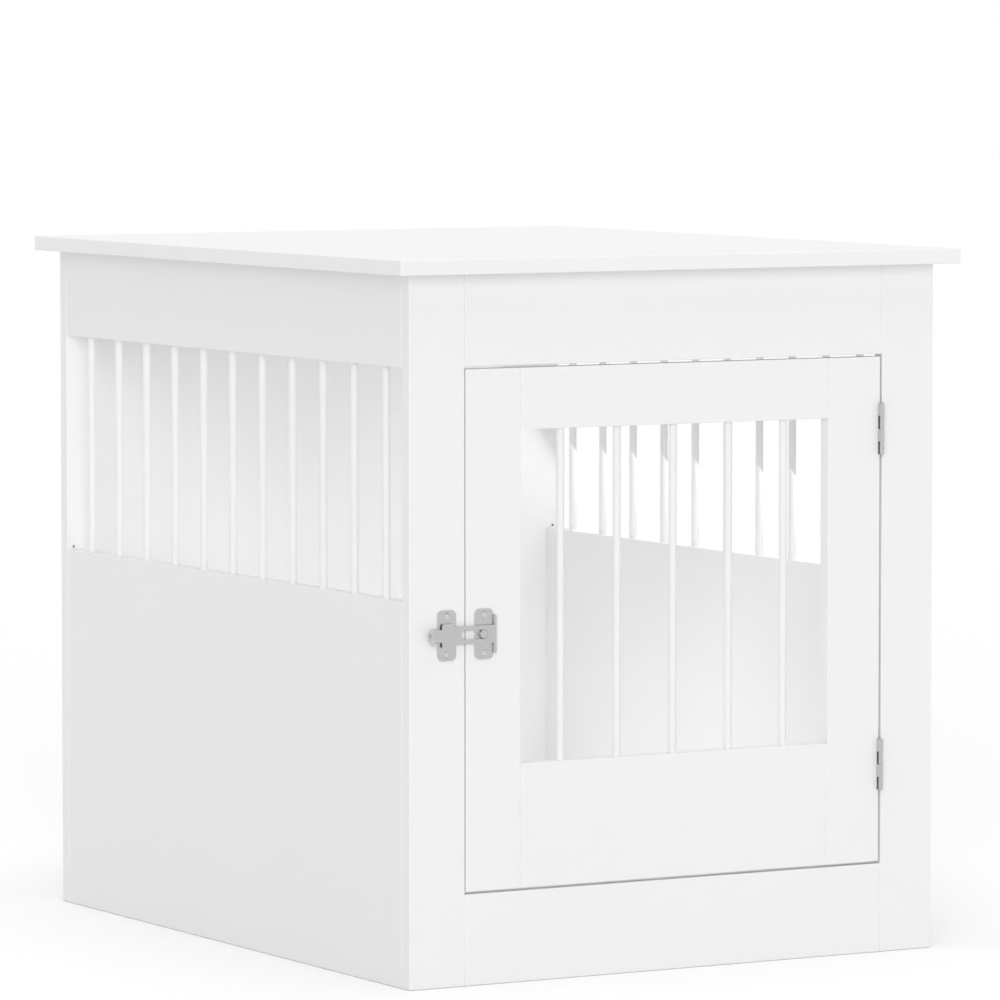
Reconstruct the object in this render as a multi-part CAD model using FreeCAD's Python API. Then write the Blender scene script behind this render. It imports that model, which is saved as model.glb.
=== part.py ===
"""Dog crate end table: a box of white boards and metal bars under a tabletop.

Millimetres. The origin is on the floor, under the middle of the table. +X is to the right of
someone facing the door, +Y runs from the door to the back panel, and +Z is up.
"""

import FreeCAD, Part

import math
import os

V = FreeCAD.Vector
RIGHT, LEFT = V(1, 0, 0), V(-1, 0, 0)
BACK, FRONT = V(0, 1, 0), V(0, -1, 0)
UP, DOWN = V(0, 0, 1), V(0, 0, -1)

# ---------------------------------------------------------------- driving dimensions
# Whole table
overall_width = 645.0
overall_depth = 800.0
overall_height = 710.0
board = 15.0                    # thickness of every board
edge_round = 1.0                # broken edge of every board
top_overhang = 20.0             # tabletop beyond the carcass, all round

# Front frame
left_stile_width = 61.8
right_stile_width = 60.5
top_rail_height = 90.0
bottom_rail_height = 90.0

# Sides and floor
upper_board_height = 90.0
lower_board_height = 378.0
floor_rise = 30.0               # floor panel's underside above the ground

# Door
door_gap = 2.5                  # above, below and at the hinges
latch_gap = 1.2                 # at the latch
door_stile_width = 61.5
door_top_rail_height = 60.5
door_bottom_rail_height = 122.5

# Bars
bar_diameter = 8.0
bar_seat = 12.0                 # depth of a bar's seat in its board
bar_fit = 0.05                  # radial clearance in the seat
bar_end_play = 0.25             # left at both ends, in the seats
side_bar_count = 11
side_bar_end_gap = 44.0         # end of the opening to the first bar's axis
door_bar_count = 5
door_bar_end_gap = 49.0         # door stile to the first bar's axis

# Dowels
dowel_diameter = 8.0
dowel_length = 30.0
dowel_in_face = 10.0            # part of a dowel that sits in a board's face
dowel_chamfer = 1.0
dowel_play = 0.5                # air at each end of a dowel
joint_fit = 0.05                # radial clearance of dowels, cams and screws

# Cam fasteners: a bolt screwed into a face, and a cam nut that draws it in
cam_diameter = 15.0
cam_height = 12.0
cam_setback = 24.0              # cam axis to the end of its board
cam_bore_play = 0.3
cam_bolt_diameter = 6.0
cam_bolt_neck = 4.0
cam_bolt_head = 7.0
cam_bolt_head_length = 3.0
cam_bolt_in_face = 11.0
cam_channel_play = 0.25         # round the bolt's head
cam_cross = (8.0, 1.2, 1.5)     # length, width and depth of the cross recess

# Long screws through the back panel
back_screw_length = 50.0
back_screw_diameter = 5.0
back_screw_shoulder = 6.4
back_screw_head = 9.0
back_screw_head_height = 2.6
back_screw_point = 4.0
back_screw_tip = 1.25           # radius of the blunt tip
back_screw_socket = (4.0, 2.5)  # hexagon across flats, and depth
pilot_mark_diameter = 3.0       # marking holes just above the lower boards
pilot_mark_depth = 6.0
pilot_mark_rise = 2.5

# Places of fasteners, from the ends of the joint they are in
rail_dowel_inset = 20.0
lower_dowel_inset = 40.0
lower_dowel_count = 3
door_dowel_inset = 15.0
door_rail_dowel_count = 3       # in the deep bottom rail
long_dowel_inset = 60.0
long_cam_inset = 120.0

# Small countersunk screws of hinges and latch
screw_diameter = 3.0
screw_cover = 2.8               # board left beyond the point of a latch plate's screw
screw_head = 5.0
screw_head_height = 1.0
screw_point = 3.0
screw_tip = 0.5                 # radius of the blunt tip
screw_recess = (3.0, 0.7, 0.7)  # length, width and depth of the cross recess
plate_screw_sink = 0.8          # head's top below the latch plate's face
leaf_screw_sink = 0.05          # head's top below the hinge leaf's face

# Butt hinges
hinge_height = 51.0
leaf_thickness = 1.0
leaf_inset = 1.0                # leaf's rear edge to the boards' back face
barrel_radius = 3.0
barrel_clear = 0.2              # barrel to the front face
frame_mouth = (50.0, 200.0)     # open left part of a frame leaf's roll, degrees from its front
door_mouth = (50.0, 115.0)      # open right part of a door leaf's roll
pocket_width = 2.4              # notch in the door's edge beside each frame knuckle
pocket_depth = 4.0
hinge_pin_radius = 1.5
hinge_pin_head = 2.3            # radius
hinge_pin_head_height = 0.5
knuckle_count = 4
knuckle_gap = 0.3
running_fit = 0.05
upper_hinge_drop = 72.5         # hinge's middle to the door's top edge
lower_hinge_rise = 98.5         # hinge's middle to the door's bottom edge
leaf_screw_count = 3
leaf_screw_inset = 8.0          # from the leaf's ends
leaf_screw_setback = 8.0        # screw axis behind the front face

# Latch plates
latch_rise = 344.4              # centre line above the floor
plate_width = 20.5
plate_height = 49.5
plate_corner = 5.5
plate_thickness = 1.2
plate_screw_inset = 6.0         # screw to the plate's end
keeper_inset = 10.5             # keeper plate to the frame stile's inner edge
hinge_plate_inset = 9.4         # hinge plate to the door's edge
rest_boss_radius = 5.0          # low boss behind the closed strap's pad
rest_gap = 0.35                 # that boss to the pad
centring_boss_fit = 0.3         # between the slot's round end and the boss in it
centring_boss_proud = 0.75      # that boss's top in front of the strap
boss_round = 0.8

# Latch strap and its pin
latch_pin_radius = 0.9
latch_pin_head = 1.3            # radius
latch_pin_head_height = 0.8
latch_pin_reach = 1.1           # pin axis beyond the hinge plate's edge
latch_knuckle_radius = 1.9
latch_knuckle_clear = 0.15      # knuckles to the boards
plate_knuckle_height = 7.4
strap_knuckle_height = 20.4
strap_thickness = 1.2
strap_height = 17.4
slot_height = 9.0
slot_length = 30.0
slot_to_pin = 8.7               # slot's right end to the pin axis
pad_width = 13.2
pad_height = 23.4
pad_corner = 2.0
neck_length = 9.3               # between the pad and the lip's axis
neck_height = 12.6
lip_flat_radius = 2.7           # flat middle of the dished thumb lip
lip_bend_radius = 4.8
lip_bend_angle = 120.0
cut_margin = 1.0                # how far a cut runs past the face that it starts from

# ---------------------------------------------------------------- places that follow
carcass_width = overall_width - 2 * top_overhang
carcass_depth = overall_depth - 2 * top_overhang
carcass_top = overall_height - board
right_x = carcass_width / 2
left_x = -right_x
inner_right_x = right_x - board
inner_left_x = left_x + board
front_y = -carcass_depth / 2
back_y = carcass_depth / 2
frame_back_y = front_y + board
frame_mid_y = front_y + board / 2
panel_front_y = back_y - board
floor_mid_z = floor_rise + board / 2

opening_left = left_x + left_stile_width
opening_right = right_x - right_stile_width
opening_bottom = bottom_rail_height
opening_top = carcass_top - top_rail_height
side_gap_bottom = lower_board_height
side_gap_top = carcass_top - upper_board_height

door_left = opening_left + latch_gap
door_right = opening_right - door_gap
door_bottom = opening_bottom + door_gap
door_top = opening_top - door_gap
window_left = door_left + door_stile_width
window_right = door_right - door_stile_width
window_bottom = door_bottom + door_bottom_rail_height
window_top = door_top - door_top_rail_height

hinge_x = opening_right - barrel_radius
hinge_y = front_y - barrel_clear - barrel_radius
leaf_depth = board - leaf_inset
screw_length = plate_thickness - plate_screw_sink + board - screw_cover

keeper_right = opening_left - keeper_inset
keeper_left = keeper_right - plate_width
hinge_plate_left = door_left + hinge_plate_inset
hinge_plate_right = hinge_plate_left + plate_width
latch_x = hinge_plate_right + latch_pin_reach
latch_y = front_y - latch_knuckle_clear - latch_knuckle_radius
plate_face_y = front_y - plate_thickness
strap_face_y = latch_y - latch_knuckle_radius
strap_back_y = strap_face_y + strap_thickness
slot_right = latch_x - slot_to_pin
slot_left = slot_right - slot_length
slot_round = slot_height / 2
centring_boss_x = slot_right - slot_round
centring_boss_radius = slot_round - centring_boss_fit
centring_boss_top_y = strap_face_y - centring_boss_proud
keeper_middle = (keeper_left + keeper_right) / 2
pad_left = keeper_middle - pad_width / 2
pad_right = keeper_middle + pad_width / 2
lip_x = pad_left - neck_length

# ---------------------------------------------------------------- the assembly so far
nodes = {}                      # name: its solids
holes = {}                      # name: what is drilled or cut out of it


def add(name, *shapes):
    for shape in shapes:
        nodes.setdefault(name, []).extend(shape.Solids)


def drill(names, tool):
    for name in names:
        holes.setdefault(name, []).append(tool)


# ---------------------------------------------------------------- shape helpers
def block(x, y, z):
    """A box from (low, high) pairs along each axis."""
    return Part.makeBox(x[1] - x[0], y[1] - y[0], z[1] - z[0], V(x[0], y[0], z[0]))


def rod(radius, start, direction, length):
    return Part.makeCylinder(radius, length, start, direction)


def turned(outline):
    """A solid turned about its own +X, from (distance, radius) points."""
    points = [V(x, radius, 0) for x, radius in outline]
    points = [V(outline[0][0], 0, 0), *points, V(outline[-1][0], 0, 0)]
    return Part.Face(Part.makePolygon([*points, points[0]])).revolve(V(), RIGHT, 360)


def swollen(outline, by):
    """The same outline with every radius larger, for the hole that takes the turned piece."""
    return turned([(x, radius + by) for x, radius in outline])


def placed(shape, origin, along, up):
    """A copy with its own origin, +X and +Z put at a point and along two directions."""
    side = up.cross(along)
    copy = shape.copy()
    copy.transformShape(FreeCAD.Matrix(
        along.x, side.x, up.x, origin.x,
        along.y, side.y, up.y, origin.y,
        along.z, side.z, up.z, origin.z,
        0, 0, 0, 1,
    ))
    return copy


def spread(count, low, high):
    """Evenly spaced places from low to high."""
    return [low + k * (high - low) / (count - 1) for k in range(count)]


def inset(low, high, by):
    """The two places that lie by inside the ends."""
    return [low + by, high - by]


def cross_recess(size):
    """Two crossed slots cut into a face at x = 0, seen along +X."""
    length, width, depth = size
    arm = block((-depth, depth), (-length / 2, length / 2), (-width / 2, width / 2))
    return arm.fuse(placed(arm, V(), RIGHT, BACK))


# ---------------------------------------------------------------- boards
def add_board(name, x, y, z):
    shape = block(x, y, z)
    add(name, shape.makeFillet(edge_round, shape.Edges))


def add_tabletop():
    half_width = overall_width / 2
    half_depth = overall_depth / 2
    add_board("tabletop", (-half_width, half_width), (-half_depth, half_depth),
              (carcass_top, overall_height))


def add_front_frame():
    y = (front_y, frame_back_y)
    add_board("front_left_stile", (left_x, opening_left), y, (0, carcass_top))
    add_board("front_right_stile", (opening_right, right_x), y, (0, carcass_top))
    add_board("front_top_rail", (opening_left, opening_right), y, (opening_top, carcass_top))
    add_board("front_bottom_rail", (opening_left, opening_right), y, (0, opening_bottom))


def add_sides():
    y = (frame_back_y, panel_front_y)
    for side, x in (("left", (left_x, inner_left_x)), ("right", (inner_right_x, right_x))):
        add_board(f"{side}_lower_board", x, y, (0, side_gap_bottom))
        add_board(f"{side}_upper_board", x, y, (side_gap_top, carcass_top))


def add_back_and_floor():
    add_board("back_panel", (left_x, right_x), (panel_front_y, back_y), (0, carcass_top))
    add_board("floor_panel", (inner_left_x, inner_right_x), (frame_back_y, panel_front_y),
              (floor_rise, floor_rise + board))
    for x in (left_x + board / 2, right_x - board / 2):
        start = V(x, panel_front_y, side_gap_bottom + pilot_mark_rise)
        drill(["back_panel"], rod(pilot_mark_diameter / 2, start, BACK, pilot_mark_depth))


def add_door_boards():
    y = (front_y, frame_back_y)
    z = (door_bottom, door_top)
    add_board("door_left_stile", (door_left, window_left), y, z)
    add_board("door_right_stile", (window_right, door_right), y, z)
    add_board("door_top_rail", (window_left, window_right), y, (window_top, door_top))
    add_board("door_bottom_rail", (window_left, window_right), y, (door_bottom, window_bottom))


# ---------------------------------------------------------------- bars
def add_bar(name, x, y, low, high, boards):
    """An upright bar seated in the board below low and in the board above high."""
    seat_bottom = low - bar_seat
    seat_length = high - low + 2 * bar_seat
    drill(boards, rod(bar_diameter / 2 + bar_fit, V(x, y, seat_bottom), UP, seat_length))
    start = V(x, y, seat_bottom + bar_end_play)
    add(name, rod(bar_diameter / 2, start, UP, seat_length - 2 * bar_end_play))


def add_side_bars():
    places = spread(side_bar_count, *inset(frame_back_y, panel_front_y, side_bar_end_gap))
    for side, x in (("left", left_x + board / 2), ("right", right_x - board / 2)):
        boards = [f"{side}_lower_board", f"{side}_upper_board"]
        for number, y in enumerate(places, 1):
            add_bar(f"{side}_bar_{number:02d}", x, y, side_gap_bottom, side_gap_top, boards)


def add_door_bars():
    places = spread(door_bar_count, *inset(window_left, window_right, door_bar_end_gap))
    boards = ["door_bottom_rail", "door_top_rail"]
    for number, x in enumerate(places, 1):
        add_bar(f"door_bar_{number}", x, frame_mid_y, window_bottom, window_top, boards)


# ---------------------------------------------------------------- board fasteners
def dowel_shape():
    radius = dowel_diameter / 2
    tip = radius - dowel_chamfer
    return turned([
        (0, tip), (dowel_chamfer, radius),
        (dowel_length - dowel_chamfer, radius), (dowel_length, tip),
    ])


def cam_nut_shape():
    """Its bolt lies along +X, and the face with the cross recess looks along +Z."""
    radius = cam_diameter / 2 - joint_fit
    nut = rod(radius, V(cam_setback, 0, board / 2 - cam_height), UP, cam_height)
    channel = rod(cam_bolt_head / 2 + cam_channel_play, V(), RIGHT,
                  cam_setback + cam_bolt_head / 2)
    recess = placed(cross_recess(cam_cross), V(cam_setback, 0, board / 2), UP, RIGHT)
    return nut.cut([channel, recess])


def cam_bolt_shape():
    shaft, neck, head = cam_bolt_diameter / 2, cam_bolt_neck / 2, cam_bolt_head / 2
    head_start = cam_setback - cam_bolt_head_length / 2
    neck_start = head_start - cam_bolt_head_length
    return turned([
        (-cam_bolt_in_face, shaft), (neck_start, shaft), (neck_start, neck),
        (head_start, neck), (head_start, head), (head_start + cam_bolt_head_length, head),
    ])


def back_screw_outline(past_point=0.0):
    core, shoulder = back_screw_diameter / 2, back_screw_shoulder / 2
    return [
        (0, back_screw_head / 2), (back_screw_head_height, shoulder), (board, shoulder),
        (board, core), (back_screw_length - back_screw_point, core),
        (back_screw_length + past_point, back_screw_tip),
    ]


def back_screw_shape():
    flats, depth = back_screw_socket
    corner = flats / 2 / math.cos(math.radians(30))
    turns = [math.radians(60 * k) for k in range(7)]
    outline = [V(0, corner * math.cos(a), corner * math.sin(a)) for a in turns]
    socket = Part.Face(Part.makePolygon(outline)).extrude(V(depth, 0, 0))
    return turned(back_screw_outline()).cut(socket)


DOWEL, CAM_NUT, CAM_BOLT = dowel_shape(), cam_nut_shape(), cam_bolt_shape()
BACK_SCREW = back_screw_shape()


def add_dowel(group, boards, point, into, depth_before):
    """A dowel that starts depth_before short of the point where two boards meet."""
    start = point - into * depth_before
    bore_start = start - into * dowel_play
    bore_length = dowel_length + 2 * dowel_play
    drill(boards, rod(dowel_diameter / 2 + joint_fit, bore_start, into, bore_length))
    add(group, placed(DOWEL, start, into, into.cross(V(into.y, into.z, into.x))))


def add_cam(face_board, edge_board, point, into, nut_side):
    """A cam fastener across the point where a board's end meets another board's face."""
    add("cam_nuts", placed(CAM_NUT, point, into, nut_side))
    add("cam_bolts", placed(CAM_BOLT, point, into, nut_side))
    thread_start = point - into * (cam_bolt_in_face + dowel_play)
    thread_length = cam_bolt_in_face + dowel_play
    drill([face_board], rod(cam_bolt_diameter / 2 + joint_fit, thread_start, into, thread_length))
    drill([edge_board], rod(cam_bolt_head / 2 + cam_channel_play, point, into, cam_setback))
    bore_bottom = point + into * cam_setback + nut_side * (board / 2 - cam_height - cam_bore_play)
    drill([edge_board], rod(cam_diameter / 2, bore_bottom, nut_side, cam_height + cam_bore_play))


def add_back_screw(boards, x, z):
    point = V(x, back_y, z)
    add("back_screws", placed(BACK_SCREW, point, FRONT, UP))
    bore = swollen(back_screw_outline(dowel_play), joint_fit)
    drill(boards, placed(bore, point, FRONT, UP))


def join_front_frame():
    half = dowel_length / 2
    for rail, low, high in (("front_top_rail", opening_top, carcass_top),
                            ("front_bottom_rail", 0, opening_bottom)):
        for stile, x, into in (("front_left_stile", opening_left, RIGHT),
                               ("front_right_stile", opening_right, LEFT)):
            for z in inset(low, high, rail_dowel_inset):
                add_dowel("carcass_dowels", [stile, rail], V(x, frame_mid_y, z), into, half)
            add_cam(stile, rail, V(x, frame_mid_y, (low + high) / 2), into, BACK)


def join_sides():
    """Dowels and cams from the boards' front ends into the stiles, screws from the back."""
    for side, x, inward in (("left", left_x + board / 2, RIGHT),
                            ("right", right_x - board / 2, LEFT)):
        stile = f"front_{side}_stile"
        lower_ends = inset(0, side_gap_bottom, lower_dowel_inset)
        lower_dowels = spread(lower_dowel_count, *lower_ends)
        lower_cams = [(a + b) / 2 for a, b in zip(lower_dowels, lower_dowels[1:])]
        upper_dowels = inset(side_gap_top, carcass_top, rail_dowel_inset)
        upper_cams = [(side_gap_top + carcass_top) / 2]
        for name, dowels, cams in ((f"{side}_lower_board", lower_dowels, lower_cams),
                                   (f"{side}_upper_board", upper_dowels, upper_cams)):
            for z in dowels:
                point = V(x, frame_back_y, z)
                add_dowel("carcass_dowels", [stile, name], point, BACK, dowel_in_face)
                add_back_screw(["back_panel", name], x, z)
            for z in cams:
                add_cam(stile, name, V(x, frame_back_y, z), BACK, inward)


def join_tabletop():
    def join(name, dowels, cams, nut_side):
        for point in dowels:
            add_dowel("carcass_dowels", ["tabletop", name], point, DOWN, dowel_in_face)
        for point in cams:
            add_cam("tabletop", name, point, DOWN, nut_side)

    for side, x, inward in (("left", left_x + board / 2, RIGHT),
                            ("right", right_x - board / 2, LEFT)):
        dowel_ys = inset(frame_back_y, panel_front_y, long_dowel_inset)
        cam_ys = inset(frame_back_y, panel_front_y, long_cam_inset)
        join(f"{side}_upper_board", [V(x, y, carcass_top) for y in dowel_ys],
             [V(x, y, carcass_top) for y in cam_ys], inward)
    dowel_xs = inset(opening_left, opening_right, long_dowel_inset)
    for name, y, nut_side in (("front_top_rail", frame_mid_y, BACK),
                              ("back_panel", back_y - board / 2, FRONT)):
        join(name, [V(x, y, carcass_top) for x in dowel_xs],
             [V(0, y, carcass_top)], nut_side)


def join_floor():
    dowel_ys = inset(frame_back_y, panel_front_y, long_dowel_inset)
    cam_ys = inset(frame_back_y, panel_front_y, long_cam_inset)
    for side, x, into in (("left", inner_left_x, RIGHT), ("right", inner_right_x, LEFT)):
        lower = f"{side}_lower_board"
        for y in dowel_ys:
            point = V(x, y, floor_mid_z)
            add_dowel("carcass_dowels", [lower, "floor_panel"], point, into, dowel_in_face)
        for y in cam_ys:
            add_cam(lower, "floor_panel", V(x, y, floor_mid_z), into, DOWN)
    for x in inset(opening_left, opening_right, long_dowel_inset):
        point = V(x, frame_back_y, floor_mid_z)
        add_dowel("carcass_dowels", ["front_bottom_rail", "floor_panel"], point, BACK,
                  dowel_in_face)
        add_back_screw(["back_panel", "floor_panel"], x, floor_mid_z)


def join_door():
    half = dowel_length / 2
    top = inset(window_top, door_top, door_dowel_inset)
    bottom_ends = inset(door_bottom, window_bottom, door_dowel_inset)
    bottom = spread(door_rail_dowel_count, *bottom_ends)
    for stile, x, into in (("door_left_stile", window_left, RIGHT),
                           ("door_right_stile", window_right, LEFT)):
        for rail, places in (("door_top_rail", top), ("door_bottom_rail", bottom)):
            for z in places:
                add_dowel("door_dowels", [stile, rail], V(x, frame_mid_y, z), into, half)


# ---------------------------------------------------------------- small screws
def screw_outline(past_point=0.0, above_head=0.0):
    """From the head's top, widened above it as the countersink is."""
    radius = screw_diameter / 2
    return [
        (-above_head, screw_head / 2 + above_head), (0, screw_head / 2),
        (screw_head_height, radius), (screw_length - screw_point, radius),
        (screw_length + past_point, screw_tip),
    ]


SCREW = turned(screw_outline()[1:]).cut(cross_recess(screw_recess))


def add_screw(group, pieces, point, into, sink):
    """A countersunk screw through a plate's face at point into the board behind it."""
    up = BACK if abs(into.y) < 0.5 else UP
    head_top = point + into * sink
    add(group, placed(SCREW, head_top, into, up))
    bore = swollen(screw_outline(dowel_play, sink), joint_fit)
    drill(pieces, placed(bore, head_top, into, up))


# ---------------------------------------------------------------- hinges
def knuckle_spans(low):
    """(low, high) of each knuckle, from the top one down."""
    step = hinge_height / knuckle_count
    tops = [low + hinge_height - k * step - knuckle_gap / 2 for k in range(knuckle_count)]
    return [(top - step + knuckle_gap, top) for top in tops]


def knuckle_mouth(side, mouth, low, high):
    """The wedge that a knuckle's roll leaves open, on its left (-1) or right (1)."""
    reach = 2 * barrel_radius
    centre = V(hinge_x, hinge_y, low)
    turns = [math.radians(a) for a in spread(3, *mouth)]
    corners = [centre + V(side * reach * math.sin(a), -reach * math.cos(a), 0) for a in turns]
    outline = Part.makePolygon([centre, *corners, centre])
    return Part.Face(outline).extrude(V(0, 0, high - low))


def leaf_shape(x, low, own, others, side, mouth):
    """A flat leaf in the door gap, rolled round the pin at its own knuckles."""
    sheet = block(x, (hinge_y, front_y + leaf_depth), (low, low + hinge_height))
    tubes = [rod(barrel_radius, V(hinge_x, hinge_y, a), UP, b - a) for a, b in own]
    bore = rod(hinge_pin_radius + running_fit, V(hinge_x, hinge_y, low), UP, hinge_height)
    clear = barrel_radius + knuckle_gap
    reliefs = [
        rod(clear, V(hinge_x, hinge_y, a - knuckle_gap), UP, b - a + 2 * knuckle_gap)
        for a, b in others
    ]
    mouths = [knuckle_mouth(side, mouth, a, b) for a, b in own]
    return sheet.fuse(tubes).cut([bore, *reliefs, *mouths])


def hinge_pin_shape(low):
    """The lower head bears on the frame leaf, and the upper one clears the door leaf."""
    head_bottom = low - hinge_pin_head_height
    upper_head = low + hinge_height + knuckle_gap
    length = upper_head - head_bottom
    pin = rod(hinge_pin_radius, V(hinge_x, hinge_y, head_bottom), UP, length)
    heads = [
        rod(hinge_pin_head, V(hinge_x, hinge_y, z), UP, hinge_pin_head_height)
        for z in (head_bottom, upper_head)
    ]
    return pin.fuse(heads).removeSplitter()


def add_hinge(name, middle):
    low = middle - hinge_height / 2
    spans = knuckle_spans(low)
    frame_x = (opening_right - leaf_thickness, opening_right)
    door_x = (door_right, door_right + leaf_thickness)
    frame_leaf, door_leaf = f"{name}_frame_leaf", f"{name}_door_leaf"
    add(frame_leaf, leaf_shape(frame_x, low, spans[1::2], spans[0::2], -1, frame_mouth))
    add(door_leaf, leaf_shape(door_x, low, spans[0::2], spans[1::2], 1, door_mouth))
    add(f"{name}_pin", hinge_pin_shape(low))
    for a, b in spans[1::2]:
        pocket = block((door_right - pocket_width, door_right + cut_margin),
                       (front_y - cut_margin, front_y + pocket_depth),
                       (a - knuckle_gap, b + knuckle_gap))
        drill(["door_right_stile"], pocket)
    y = front_y + leaf_screw_setback
    for z in spread(leaf_screw_count, *inset(low, low + hinge_height, leaf_screw_inset)):
        add_screw("frame_hardware_screws", [frame_leaf, "front_right_stile"],
                  V(frame_x[0], y, z), RIGHT, leaf_screw_sink)
        add_screw("door_hardware_screws", [door_leaf, "door_right_stile"],
                  V(door_x[1], y, z), LEFT, leaf_screw_sink)


# ---------------------------------------------------------------- latch
def upright_plate(x, y, z, corner):
    """A plate facing the front, with its four corners rounded."""
    plate = block(x, y, z)
    edges = [e for e in plate.Edges if abs(e.tangentAt(e.FirstParameter).y) > 0.9]
    return plate.makeFillet(corner, edges)


def boss(x, radius, top_y):
    """A round boss on the centre line, from the boards out to top_y, its rim rounded."""
    shape = rod(radius, V(x, front_y, latch_rise), FRONT, front_y - top_y)
    rim = [e for e in shape.Edges if abs(e.CenterOfMass.y - top_y) < 1e-6]
    return shape.makeFillet(boss_round, rim)


def latch_plate(left):
    z = (latch_rise - plate_height / 2, latch_rise + plate_height / 2)
    return upright_plate((left, left + plate_width), (plate_face_y, front_y), z, plate_corner)


def knuckle_bore(low, high):
    radius = latch_pin_radius + running_fit
    return rod(radius, V(latch_x, latch_y, low), UP, high - low)


def add_keeper_plate():
    top_y = strap_back_y + rest_gap
    add("latch_keeper_plate",
        latch_plate(keeper_left).fuse(boss(keeper_middle, rest_boss_radius, top_y)))


def add_hinge_plate():
    reach = strap_knuckle_height / 2 + knuckle_gap
    spans = [
        (latch_rise + reach, latch_rise + reach + plate_knuckle_height),
        (latch_rise - reach - plate_knuckle_height, latch_rise - reach),
    ]
    pieces = [boss(centring_boss_x, centring_boss_radius, centring_boss_top_y)]
    for low, high in spans:
        tab_x = (hinge_plate_right - plate_thickness, latch_x)
        pieces.append(block(tab_x, (plate_face_y, front_y), (low, high)))
        pieces.append(rod(latch_knuckle_radius, V(latch_x, latch_y, low), UP, high - low))
    notch = rod(latch_knuckle_radius + knuckle_gap, V(latch_x, latch_y, latch_rise - reach), UP,
                2 * reach)
    plate = latch_plate(hinge_plate_left).fuse(pieces).cut(notch)
    low, high = spans[1][0], spans[0][1]
    add("latch_hinge_plate", plate.cut(knuckle_bore(low, high)))
    head_low = low - latch_pin_head_height
    pin = rod(latch_pin_radius, V(latch_x, latch_y, low), UP, high - low)
    heads = [rod(latch_pin_head, V(latch_x, latch_y, z), UP, latch_pin_head_height)
             for z in (head_low, high)]
    add("latch_pin", pin.fuse(heads).removeSplitter())


def slot_shape():
    low, high = strap_face_y - cut_margin, strap_back_y + cut_margin
    x = (slot_left + slot_round, slot_right - slot_round)
    middle = block(x, (low, high), (latch_rise - slot_round, latch_rise + slot_round))
    ends = [rod(slot_round, V(end, low, latch_rise), BACK, high - low) for end in x]
    return middle.fuse(ends)


def lip_shape():
    """Half a cup: a flat middle whose left rim curls away from the boards and inward."""
    def on_arc(radius, degrees):
        angle = math.radians(degrees)
        return V(
            lip_x,
            strap_face_y - lip_bend_radius + radius * math.cos(angle),
            latch_rise + lip_flat_radius + radius * math.sin(angle),
        )

    inner, outer = lip_bend_radius, lip_bend_radius + strap_thickness
    face_centre = V(lip_x, strap_face_y, latch_rise)
    back_centre = V(lip_x, strap_back_y, latch_rise)
    half = lip_bend_angle / 2
    edges = [
        Part.makeLine(face_centre, on_arc(inner, 0)),
        Part.Arc(on_arc(inner, 0), on_arc(inner, half), on_arc(inner, lip_bend_angle)).toShape(),
        Part.makeLine(on_arc(inner, lip_bend_angle), on_arc(outer, lip_bend_angle)),
        Part.Arc(on_arc(outer, lip_bend_angle), on_arc(outer, half), on_arc(outer, 0)).toShape(),
        Part.makeLine(on_arc(outer, 0), back_centre),
        Part.makeLine(back_centre, face_centre),
    ]
    return Part.Face(Part.Wire(edges)).revolve(face_centre, FRONT, 180)


def add_strap():
    y = (strap_face_y, strap_back_y)

    def centred(x, height):
        return block(x, y, (latch_rise - height / 2, latch_rise + height / 2))

    low = latch_rise - strap_knuckle_height / 2
    high = latch_rise + strap_knuckle_height / 2
    pad_z = (latch_rise - pad_height / 2, latch_rise + pad_height / 2)
    pieces = [
        centred((keeper_middle, latch_x), strap_height),
        upright_plate((pad_left, pad_right), y, pad_z, pad_corner),
        centred((lip_x, keeper_middle), neck_height),
        lip_shape(),
    ]
    knuckle = rod(latch_knuckle_radius, V(latch_x, latch_y, low), UP, high - low)
    strap = knuckle.fuse(pieces).cut([slot_shape(), knuckle_bore(low, high)])
    add("latch_strap", strap.removeSplitter())


def add_latch_screws():
    hinge_plate_x = (hinge_plate_left + hinge_plate_right) / 2
    plate_ends = (latch_rise - plate_height / 2, latch_rise + plate_height / 2)
    for z in inset(*plate_ends, plate_screw_inset):
        add_screw("frame_hardware_screws", ["latch_keeper_plate", "front_left_stile"],
                  V(keeper_middle, plate_face_y, z), BACK, plate_screw_sink)
        add_screw("door_hardware_screws", ["latch_hinge_plate", "door_left_stile"],
                  V(hinge_plate_x, plate_face_y, z), BACK, plate_screw_sink)


# ---------------------------------------------------------------- build
def build():
    add_tabletop()
    add_front_frame()
    add_sides()
    add_back_and_floor()
    add_side_bars()
    add_door_boards()
    add_door_bars()
    join_front_frame()
    join_sides()
    join_tabletop()
    join_floor()
    join_door()
    add_hinge("upper_hinge", door_top - upper_hinge_drop)
    add_hinge("lower_hinge", door_bottom + lower_hinge_rise)
    add_keeper_plate()
    add_hinge_plate()
    add_strap()
    add_latch_screws()
    for name, tools in holes.items():
        nodes[name] = nodes[name][0].cut(tools).Solids


def export():
    os.makedirs("parts", exist_ok=True)
    for name, solids in nodes.items():
        shape = solids[0] if len(solids) == 1 else Part.makeCompound(solids)
        shape.exportStep(f"parts/{name}.step")


build()
export()
print(f"{len(nodes)} nodes, {sum(len(solids) for solids in nodes.values())} solids")
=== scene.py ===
"""Dog crate end table: finishes, studio light and camera. Metres."""

import math

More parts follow.
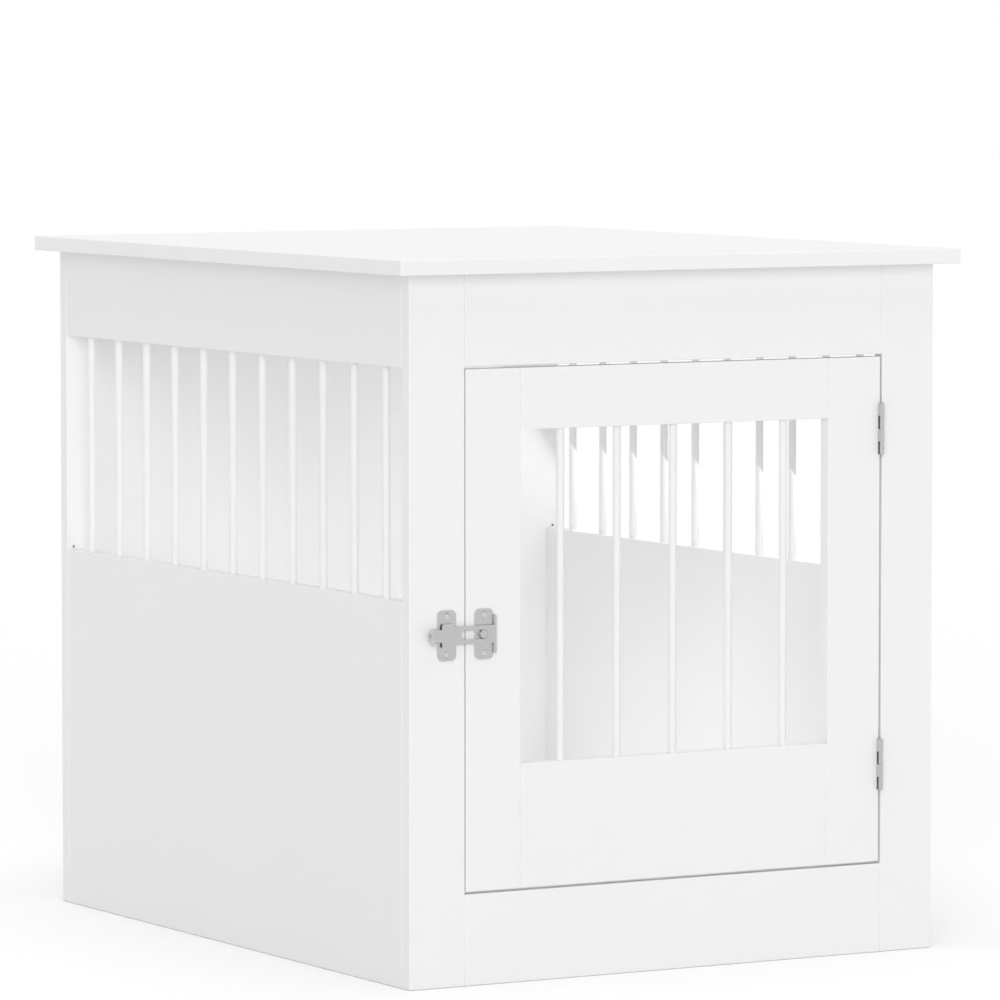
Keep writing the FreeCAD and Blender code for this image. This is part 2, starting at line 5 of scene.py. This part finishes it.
import bpy
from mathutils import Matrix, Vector


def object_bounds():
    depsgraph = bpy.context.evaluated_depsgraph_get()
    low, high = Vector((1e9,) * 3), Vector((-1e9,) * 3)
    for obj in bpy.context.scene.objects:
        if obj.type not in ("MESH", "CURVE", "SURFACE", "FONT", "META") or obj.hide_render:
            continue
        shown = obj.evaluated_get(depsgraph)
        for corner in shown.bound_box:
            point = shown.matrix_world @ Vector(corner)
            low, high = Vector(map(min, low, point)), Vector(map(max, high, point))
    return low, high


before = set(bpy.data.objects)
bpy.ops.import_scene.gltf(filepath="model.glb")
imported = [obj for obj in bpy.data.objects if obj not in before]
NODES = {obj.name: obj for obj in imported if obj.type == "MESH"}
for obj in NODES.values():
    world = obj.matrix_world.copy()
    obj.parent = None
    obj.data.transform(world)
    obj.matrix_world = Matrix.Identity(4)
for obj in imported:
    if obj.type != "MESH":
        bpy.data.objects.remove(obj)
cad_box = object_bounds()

# ---------------------------------------------------------------- which node has which finish
BAR_NODES = [name for name in NODES if "_bar_" in name]
HINGE_NODES = [name for name in NODES if name.startswith(("upper_hinge_", "lower_hinge_"))]
LATCH_NODES = [name for name in NODES if name.startswith("latch_")]
SCREW_NODES = ["frame_hardware_screws", "door_hardware_screws", "back_screws"]
DOWEL_NODES = ["carcass_dowels", "door_dowels"]
CAM_NODES = ["cam_nuts"]
BOLT_NODES = ["cam_bolts"]
NOT_BOARDS = [
    *BAR_NODES, *HINGE_NODES, *LATCH_NODES, *SCREW_NODES, *DOWEL_NODES, *CAM_NODES, *BOLT_NODES,
]
BOARD_NODES = [name for name in NODES if name not in NOT_BOARDS]

# Edges between faces that turn less than this are one flat face; more than this is a corner.
FLAT_ANGLE = 0.5
SHARP_ANGLE = 40.0
BROKEN_EDGE = 0.00025


# ---------------------------------------------------------------- shader helpers
class Shader:
    """One node material, built from texture and maths nodes."""

    def __init__(self, name):
        self.material = bpy.data.materials.new(name)
        self.material.use_nodes = True
        self.tree = self.material.node_tree
        self.surface = self.tree.nodes["Principled BSDF"]
        self.place = self.tree.nodes.new("ShaderNodeTexCoord").outputs["Object"]

    def node(self, kind, **inputs):
        made = self.tree.nodes.new(kind)
        for name, value in inputs.items():
            self.feed(made.inputs[name.replace("_", " ")], value)
        return made

    def feed(self, socket, value):
        if isinstance(value, bpy.types.NodeSocket):
            self.tree.links.new(value, socket)
        else:
            socket.default_value = value

    def stretched(self, scale):
        """The place on the object, scaled differently along each axis."""
        return self.node("ShaderNodeMapping", Vector=self.place, Scale=scale).outputs["Vector"]

    def noise(self, scale, detail=2.0, place=None):
        made = self.node("ShaderNodeTexNoise", Vector=place or self.place, Scale=scale)
        made.inputs["Detail"].default_value = detail
        return made.outputs["Fac"]

    def between(self, value, low, high):
        """Maps a 0 to 1 value to a range."""
        made = self.node("ShaderNodeMapRange", Value=value)
        made.inputs["To Min"].default_value = low
        made.inputs["To Max"].default_value = high
        return made.outputs["Result"]

    def tinted(self, value, first, second):
        """Mixes two colours by a value."""
        made = self.node("ShaderNodeMix")
        made.data_type = "RGBA"
        self.feed(made.inputs["Factor"], value)
        self.feed(made.inputs[6], (*first, 1))
        self.feed(made.inputs[7], (*second, 1))
        return made.outputs[2]

    def bump(self, height, depth):
        made = self.node("ShaderNodeBump", Height=height, Distance=depth)
        self.feed(self.surface.inputs["Normal"], made.outputs["Normal"])

    def set(self, **inputs):
        for name, value in inputs.items():
            self.feed(self.surface.inputs[name.replace("_", " ")], value)


def white_melamine():
    shader = Shader("white_melamine")
    cloud = shader.noise(9.0, 3.0)
    grain = shader.noise(1400.0, 3.0)
    shader.set(
        Base_Color=shader.tinted(cloud, (0.862, 0.862, 0.865), (0.878, 0.878, 0.878)),
        Roughness=shader.between(cloud, 0.42, 0.50),
        IOR=1.5,
    )
    shader.bump(grain, 0.00002)
    return shader.material


def white_powder_coat():
    shader = Shader("white_powder_coat")
    peel = shader.noise(900.0, 2.0)
    cloud = shader.noise(30.0)
    shader.set(
        Base_Color=shader.tinted(cloud, (0.84, 0.84, 0.845), (0.865, 0.865, 0.865)),
        Roughness=shader.between(cloud, 0.3, 0.38),
        IOR=1.5,
    )
    shader.bump(peel, 0.00003)
    return shader.material


def satin_nickel():
    shader = Shader("satin_nickel")
    grain = shader.noise(1.0, 4.0, shader.stretched((400.0, 400.0, 6000.0)))
    cloud = shader.noise(120.0, 3.0)
    shader.set(
        Base_Color=shader.tinted(cloud, (0.59, 0.6, 0.6), (0.64, 0.645, 0.65)),
        Metallic=1.0,
        Roughness=shader.between(grain, 0.22, 0.34),
    )
    shader.bump(grain, 0.00001)
    return shader.material


def screw_steel():
    shader = Shader("screw_steel")
    cloud = shader.noise(700.0, 3.0)
    shader.set(
        Base_Color=shader.tinted(cloud, (0.74, 0.745, 0.75), (0.82, 0.82, 0.82)),
        Metallic=1.0,
        Roughness=shader.between(cloud, 0.18, 0.3),
    )
    return shader.material


def zinc_alloy():
    shader = Shader("zinc_alloy")
    cast = shader.noise(900.0, 4.0)
    shader.set(
        Base_Color=shader.tinted(cast, (0.42, 0.43, 0.44), (0.52, 0.53, 0.54)),
        Metallic=1.0,
        Roughness=shader.between(cast, 0.4, 0.55),
    )
    shader.bump(cast, 0.00003)
    return shader.material


def beech():
    shader = Shader("beech")
    fleck = shader.noise(1.0, 4.0, shader.stretched((900.0, 900.0, 60.0)))
    shader.set(
        Base_Color=shader.tinted(fleck, (0.52, 0.34, 0.19), (0.68, 0.49, 0.31)),
        Roughness=shader.between(fleck, 0.5, 0.7),
    )
    shader.bump(fleck, 0.00003)
    return shader.material


def finish_nodes(names, material):
    for name in names:
        slots = NODES[name].data.materials
        slots.clear()
        slots.append(material)


def break_edges(names, width):
    """Rounds the sharp edges of pressed metal, as tumbling leaves them."""
    for name in names:
        merge = NODES[name].modifiers.new("whole_faces", "DECIMATE")
        merge.decimate_type = "DISSOLVE"
        merge.angle_limit = math.radians(FLAT_ANGLE)
        bevel = NODES[name].modifiers.new("broken_edges", "BEVEL")
        bevel.width = width
        bevel.segments = 3
        bevel.limit_method = "ANGLE"
        bevel.angle_limit = math.radians(SHARP_ANGLE)
        bevel.harden_normals = True


# ---------------------------------------------------------------- studio
FLOOR_SIZE = 60.0
FLOOR_DROP = 0.0002
FLOOR_GREY = (0.8, 0.8, 0.8, 1)
WHITE = (1.0, 1.0, 1.0, 1)


def add_floor():
    """A pale floor that the camera sees as white, apart from the object's shadow on it."""
    mesh = bpy.data.meshes.new("floor")
    half = FLOOR_SIZE / 2
    mesh.from_pydata([(-half, -half, 0), (half, -half, 0), (half, half, 0), (-half, half, 0)],
                     [], [(0, 1, 2, 3)])
    floor = bpy.data.objects.new("floor", mesh)
    bpy.context.scene.collection.objects.link(floor)
    floor.location.z = cad_box[0].z - FLOOR_DROP
    material = bpy.data.materials.new("floor")
    material.use_nodes = True
    tree = material.node_tree
    shade = tree.nodes["Principled BSDF"]
    shade.inputs["Roughness"].default_value = 1.0
    shade.inputs["Specular IOR Level"].default_value = 0.0
    path = tree.nodes.new("ShaderNodeLightPath")
    mix = tree.nodes.new("ShaderNodeMix")
    mix.data_type = "RGBA"
    mix.inputs[6].default_value = FLOOR_GREY
    mix.inputs[7].default_value = WHITE
    tree.links.new(path.outputs["Is Camera Ray"], mix.inputs["Factor"])
    tree.links.new(mix.outputs[2], shade.inputs["Base Color"])
    mesh.materials.append(material)


def add_world(strength):
    """White all round, at full strength where the camera, metal or glass sees it."""
    world = bpy.data.worlds.new("studio")
    bpy.context.scene.world = world
    world.use_nodes = True
    tree = world.node_tree
    path = tree.nodes.new("ShaderNodeLightPath").outputs

    def either(first, second):
        total = tree.nodes.new("ShaderNodeMath")
        total.operation = "ADD"
        total.use_clamp = True
        tree.links.new(first, total.inputs[0])
        tree.links.new(second, total.inputs[1])
        return total.outputs[0]

    seen = either(path["Is Camera Ray"], either(path["Is Glossy Ray"], path["Is Transmission Ray"]))
    amount = tree.nodes.new("ShaderNodeMapRange")
    amount.inputs["To Min"].default_value = strength
    amount.inputs["To Max"].default_value = 1.0
    tree.links.new(seen, amount.inputs["Value"])
    sky = tree.nodes["Background"]
    sky.inputs["Color"].default_value = WHITE
    tree.links.new(amount.outputs["Result"], sky.inputs["Strength"])


def aimed(name, light, place, aim):
    """Puts a lamp at a place, turned to its aim, and keeps it out of the picture and reflections."""
    lamp = bpy.data.objects.new(name, light)
    bpy.context.scene.collection.objects.link(lamp)
    lamp.location = place
    lamp.rotation_euler = (Vector(aim) - Vector(place)).to_track_quat("-Z", "Y").to_euler()
    lamp.visible_camera = False
    lamp.visible_glossy = False


def add_sun(name, azimuth, elevation, strength, spread):
    """A broad soft light from far away. Azimuth 0 shines on the front, 90 on the right side."""
    light = bpy.data.lights.new(name, "SUN")
    light.energy = strength * math.pi
    light.angle = math.radians(spread)
    level = math.cos(math.radians(elevation))
    turn = math.radians(azimuth)
    away = (math.sin(turn) * level, -math.cos(turn) * level, math.sin(math.radians(elevation)))
    aimed(name, light, away, (0, 0, 0))


def add_panel(name, place, aim, size, radiance):
    """A soft rectangular light. It is as bright as a white surface of that radiance."""
    light = bpy.data.lights.new(name, "AREA")
    light.shape = "RECTANGLE"
    light.size, light.size_y = size
    light.energy = radiance * math.pi * size[0] * size[1]
    aimed(name, light, place, aim)


CARD_AZIMUTH = -95.0
CARD_DISTANCE = 5.0
CARD_WIDTH = 3.4
CARD_HEIGHT = 2.6
CARD_GREY = 0.22


def add_dark_card():
    """A grey card to the left that only reflections see, so that the metal has some shade."""
    turn = math.radians(CARD_AZIMUTH)
    half = CARD_WIDTH / 2
    mesh = bpy.data.meshes.new("dark_card")
    corners = [(-half, 0, 0), (half, 0, 0), (half, 0, CARD_HEIGHT), (-half, 0, CARD_HEIGHT)]
    mesh.from_pydata(corners, [], [(0, 1, 2, 3)])
    card = bpy.data.objects.new("dark_card", mesh)
    bpy.context.scene.collection.objects.link(card)
    card.location = (CARD_DISTANCE * math.sin(turn), -CARD_DISTANCE * math.cos(turn), 0)
    card.rotation_euler.z = turn
    material = bpy.data.materials.new("dark_card")
    material.use_nodes = True
    grey = (CARD_GREY, CARD_GREY, CARD_GREY, 1)
    material.node_tree.nodes["Principled BSDF"].inputs["Base Color"].default_value = grey
    mesh.materials.append(material)
    card.visible_camera = False
    card.visible_diffuse = False
    card.visible_shadow = False
    card.visible_transmission = False


# ---------------------------------------------------------------- camera
CAMERA_AZIMUTH = -29.944
CAMERA_ELEVATION = 4.222
CAMERA_DISTANCE = 6.9617
CAMERA_AIM = Vector((0.01754, 0.0, 0.4418))
CAMERA_LENS = 241.34
CAMERA_REACH = 100.0


def add_camera():
    azimuth, elevation = math.radians(CAMERA_AZIMUTH), math.radians(CAMERA_ELEVATION)
    level = math.cos(elevation)
    away = Vector((math.sin(azimuth) * level, -math.cos(azimuth) * level, math.sin(elevation)))
    camera = bpy.data.objects.new("camera", bpy.data.cameras.new("camera"))
    bpy.context.scene.collection.objects.link(camera)
    camera.data.lens = CAMERA_LENS
    camera.data.clip_end = CAMERA_REACH
    camera.location = CAMERA_AIM + away * CAMERA_DISTANCE
    camera.rotation_euler = (-away).to_track_quat("-Z", "Y").to_euler()
    bpy.context.scene.camera = camera


# ---------------------------------------------------------------- the scene
finish_nodes(BOARD_NODES, white_melamine())
finish_nodes(BAR_NODES, white_powder_coat())
finish_nodes([*HINGE_NODES, *LATCH_NODES], satin_nickel())
finish_nodes([*SCREW_NODES, *BOLT_NODES], screw_steel())
finish_nodes(CAM_NODES, zinc_alloy())
finish_nodes(DOWEL_NODES, beech())
break_edges([*LATCH_NODES, *HINGE_NODES], BROKEN_EDGE)
add_floor()
add_world(strength=0.53)
add_sun("key", azimuth=-32, elevation=14, strength=0.42, spread=40)
add_sun("top", azimuth=0, elevation=90, strength=0.37, spread=60)
add_panel("right_fill", place=(0.28, 0.0, 0.49), aim=(0, 0, 0.3), size=(0.7, 0.2), radiance=0.94)
add_panel("floor_fill", place=(0, 0, 0.05), aim=(0, 0.0001, 0.6), size=(0.5, 0.66), radiance=0.87)
add_dark_card()
add_camera()
bpy.context.scene.view_settings.view_transform = "Standard"
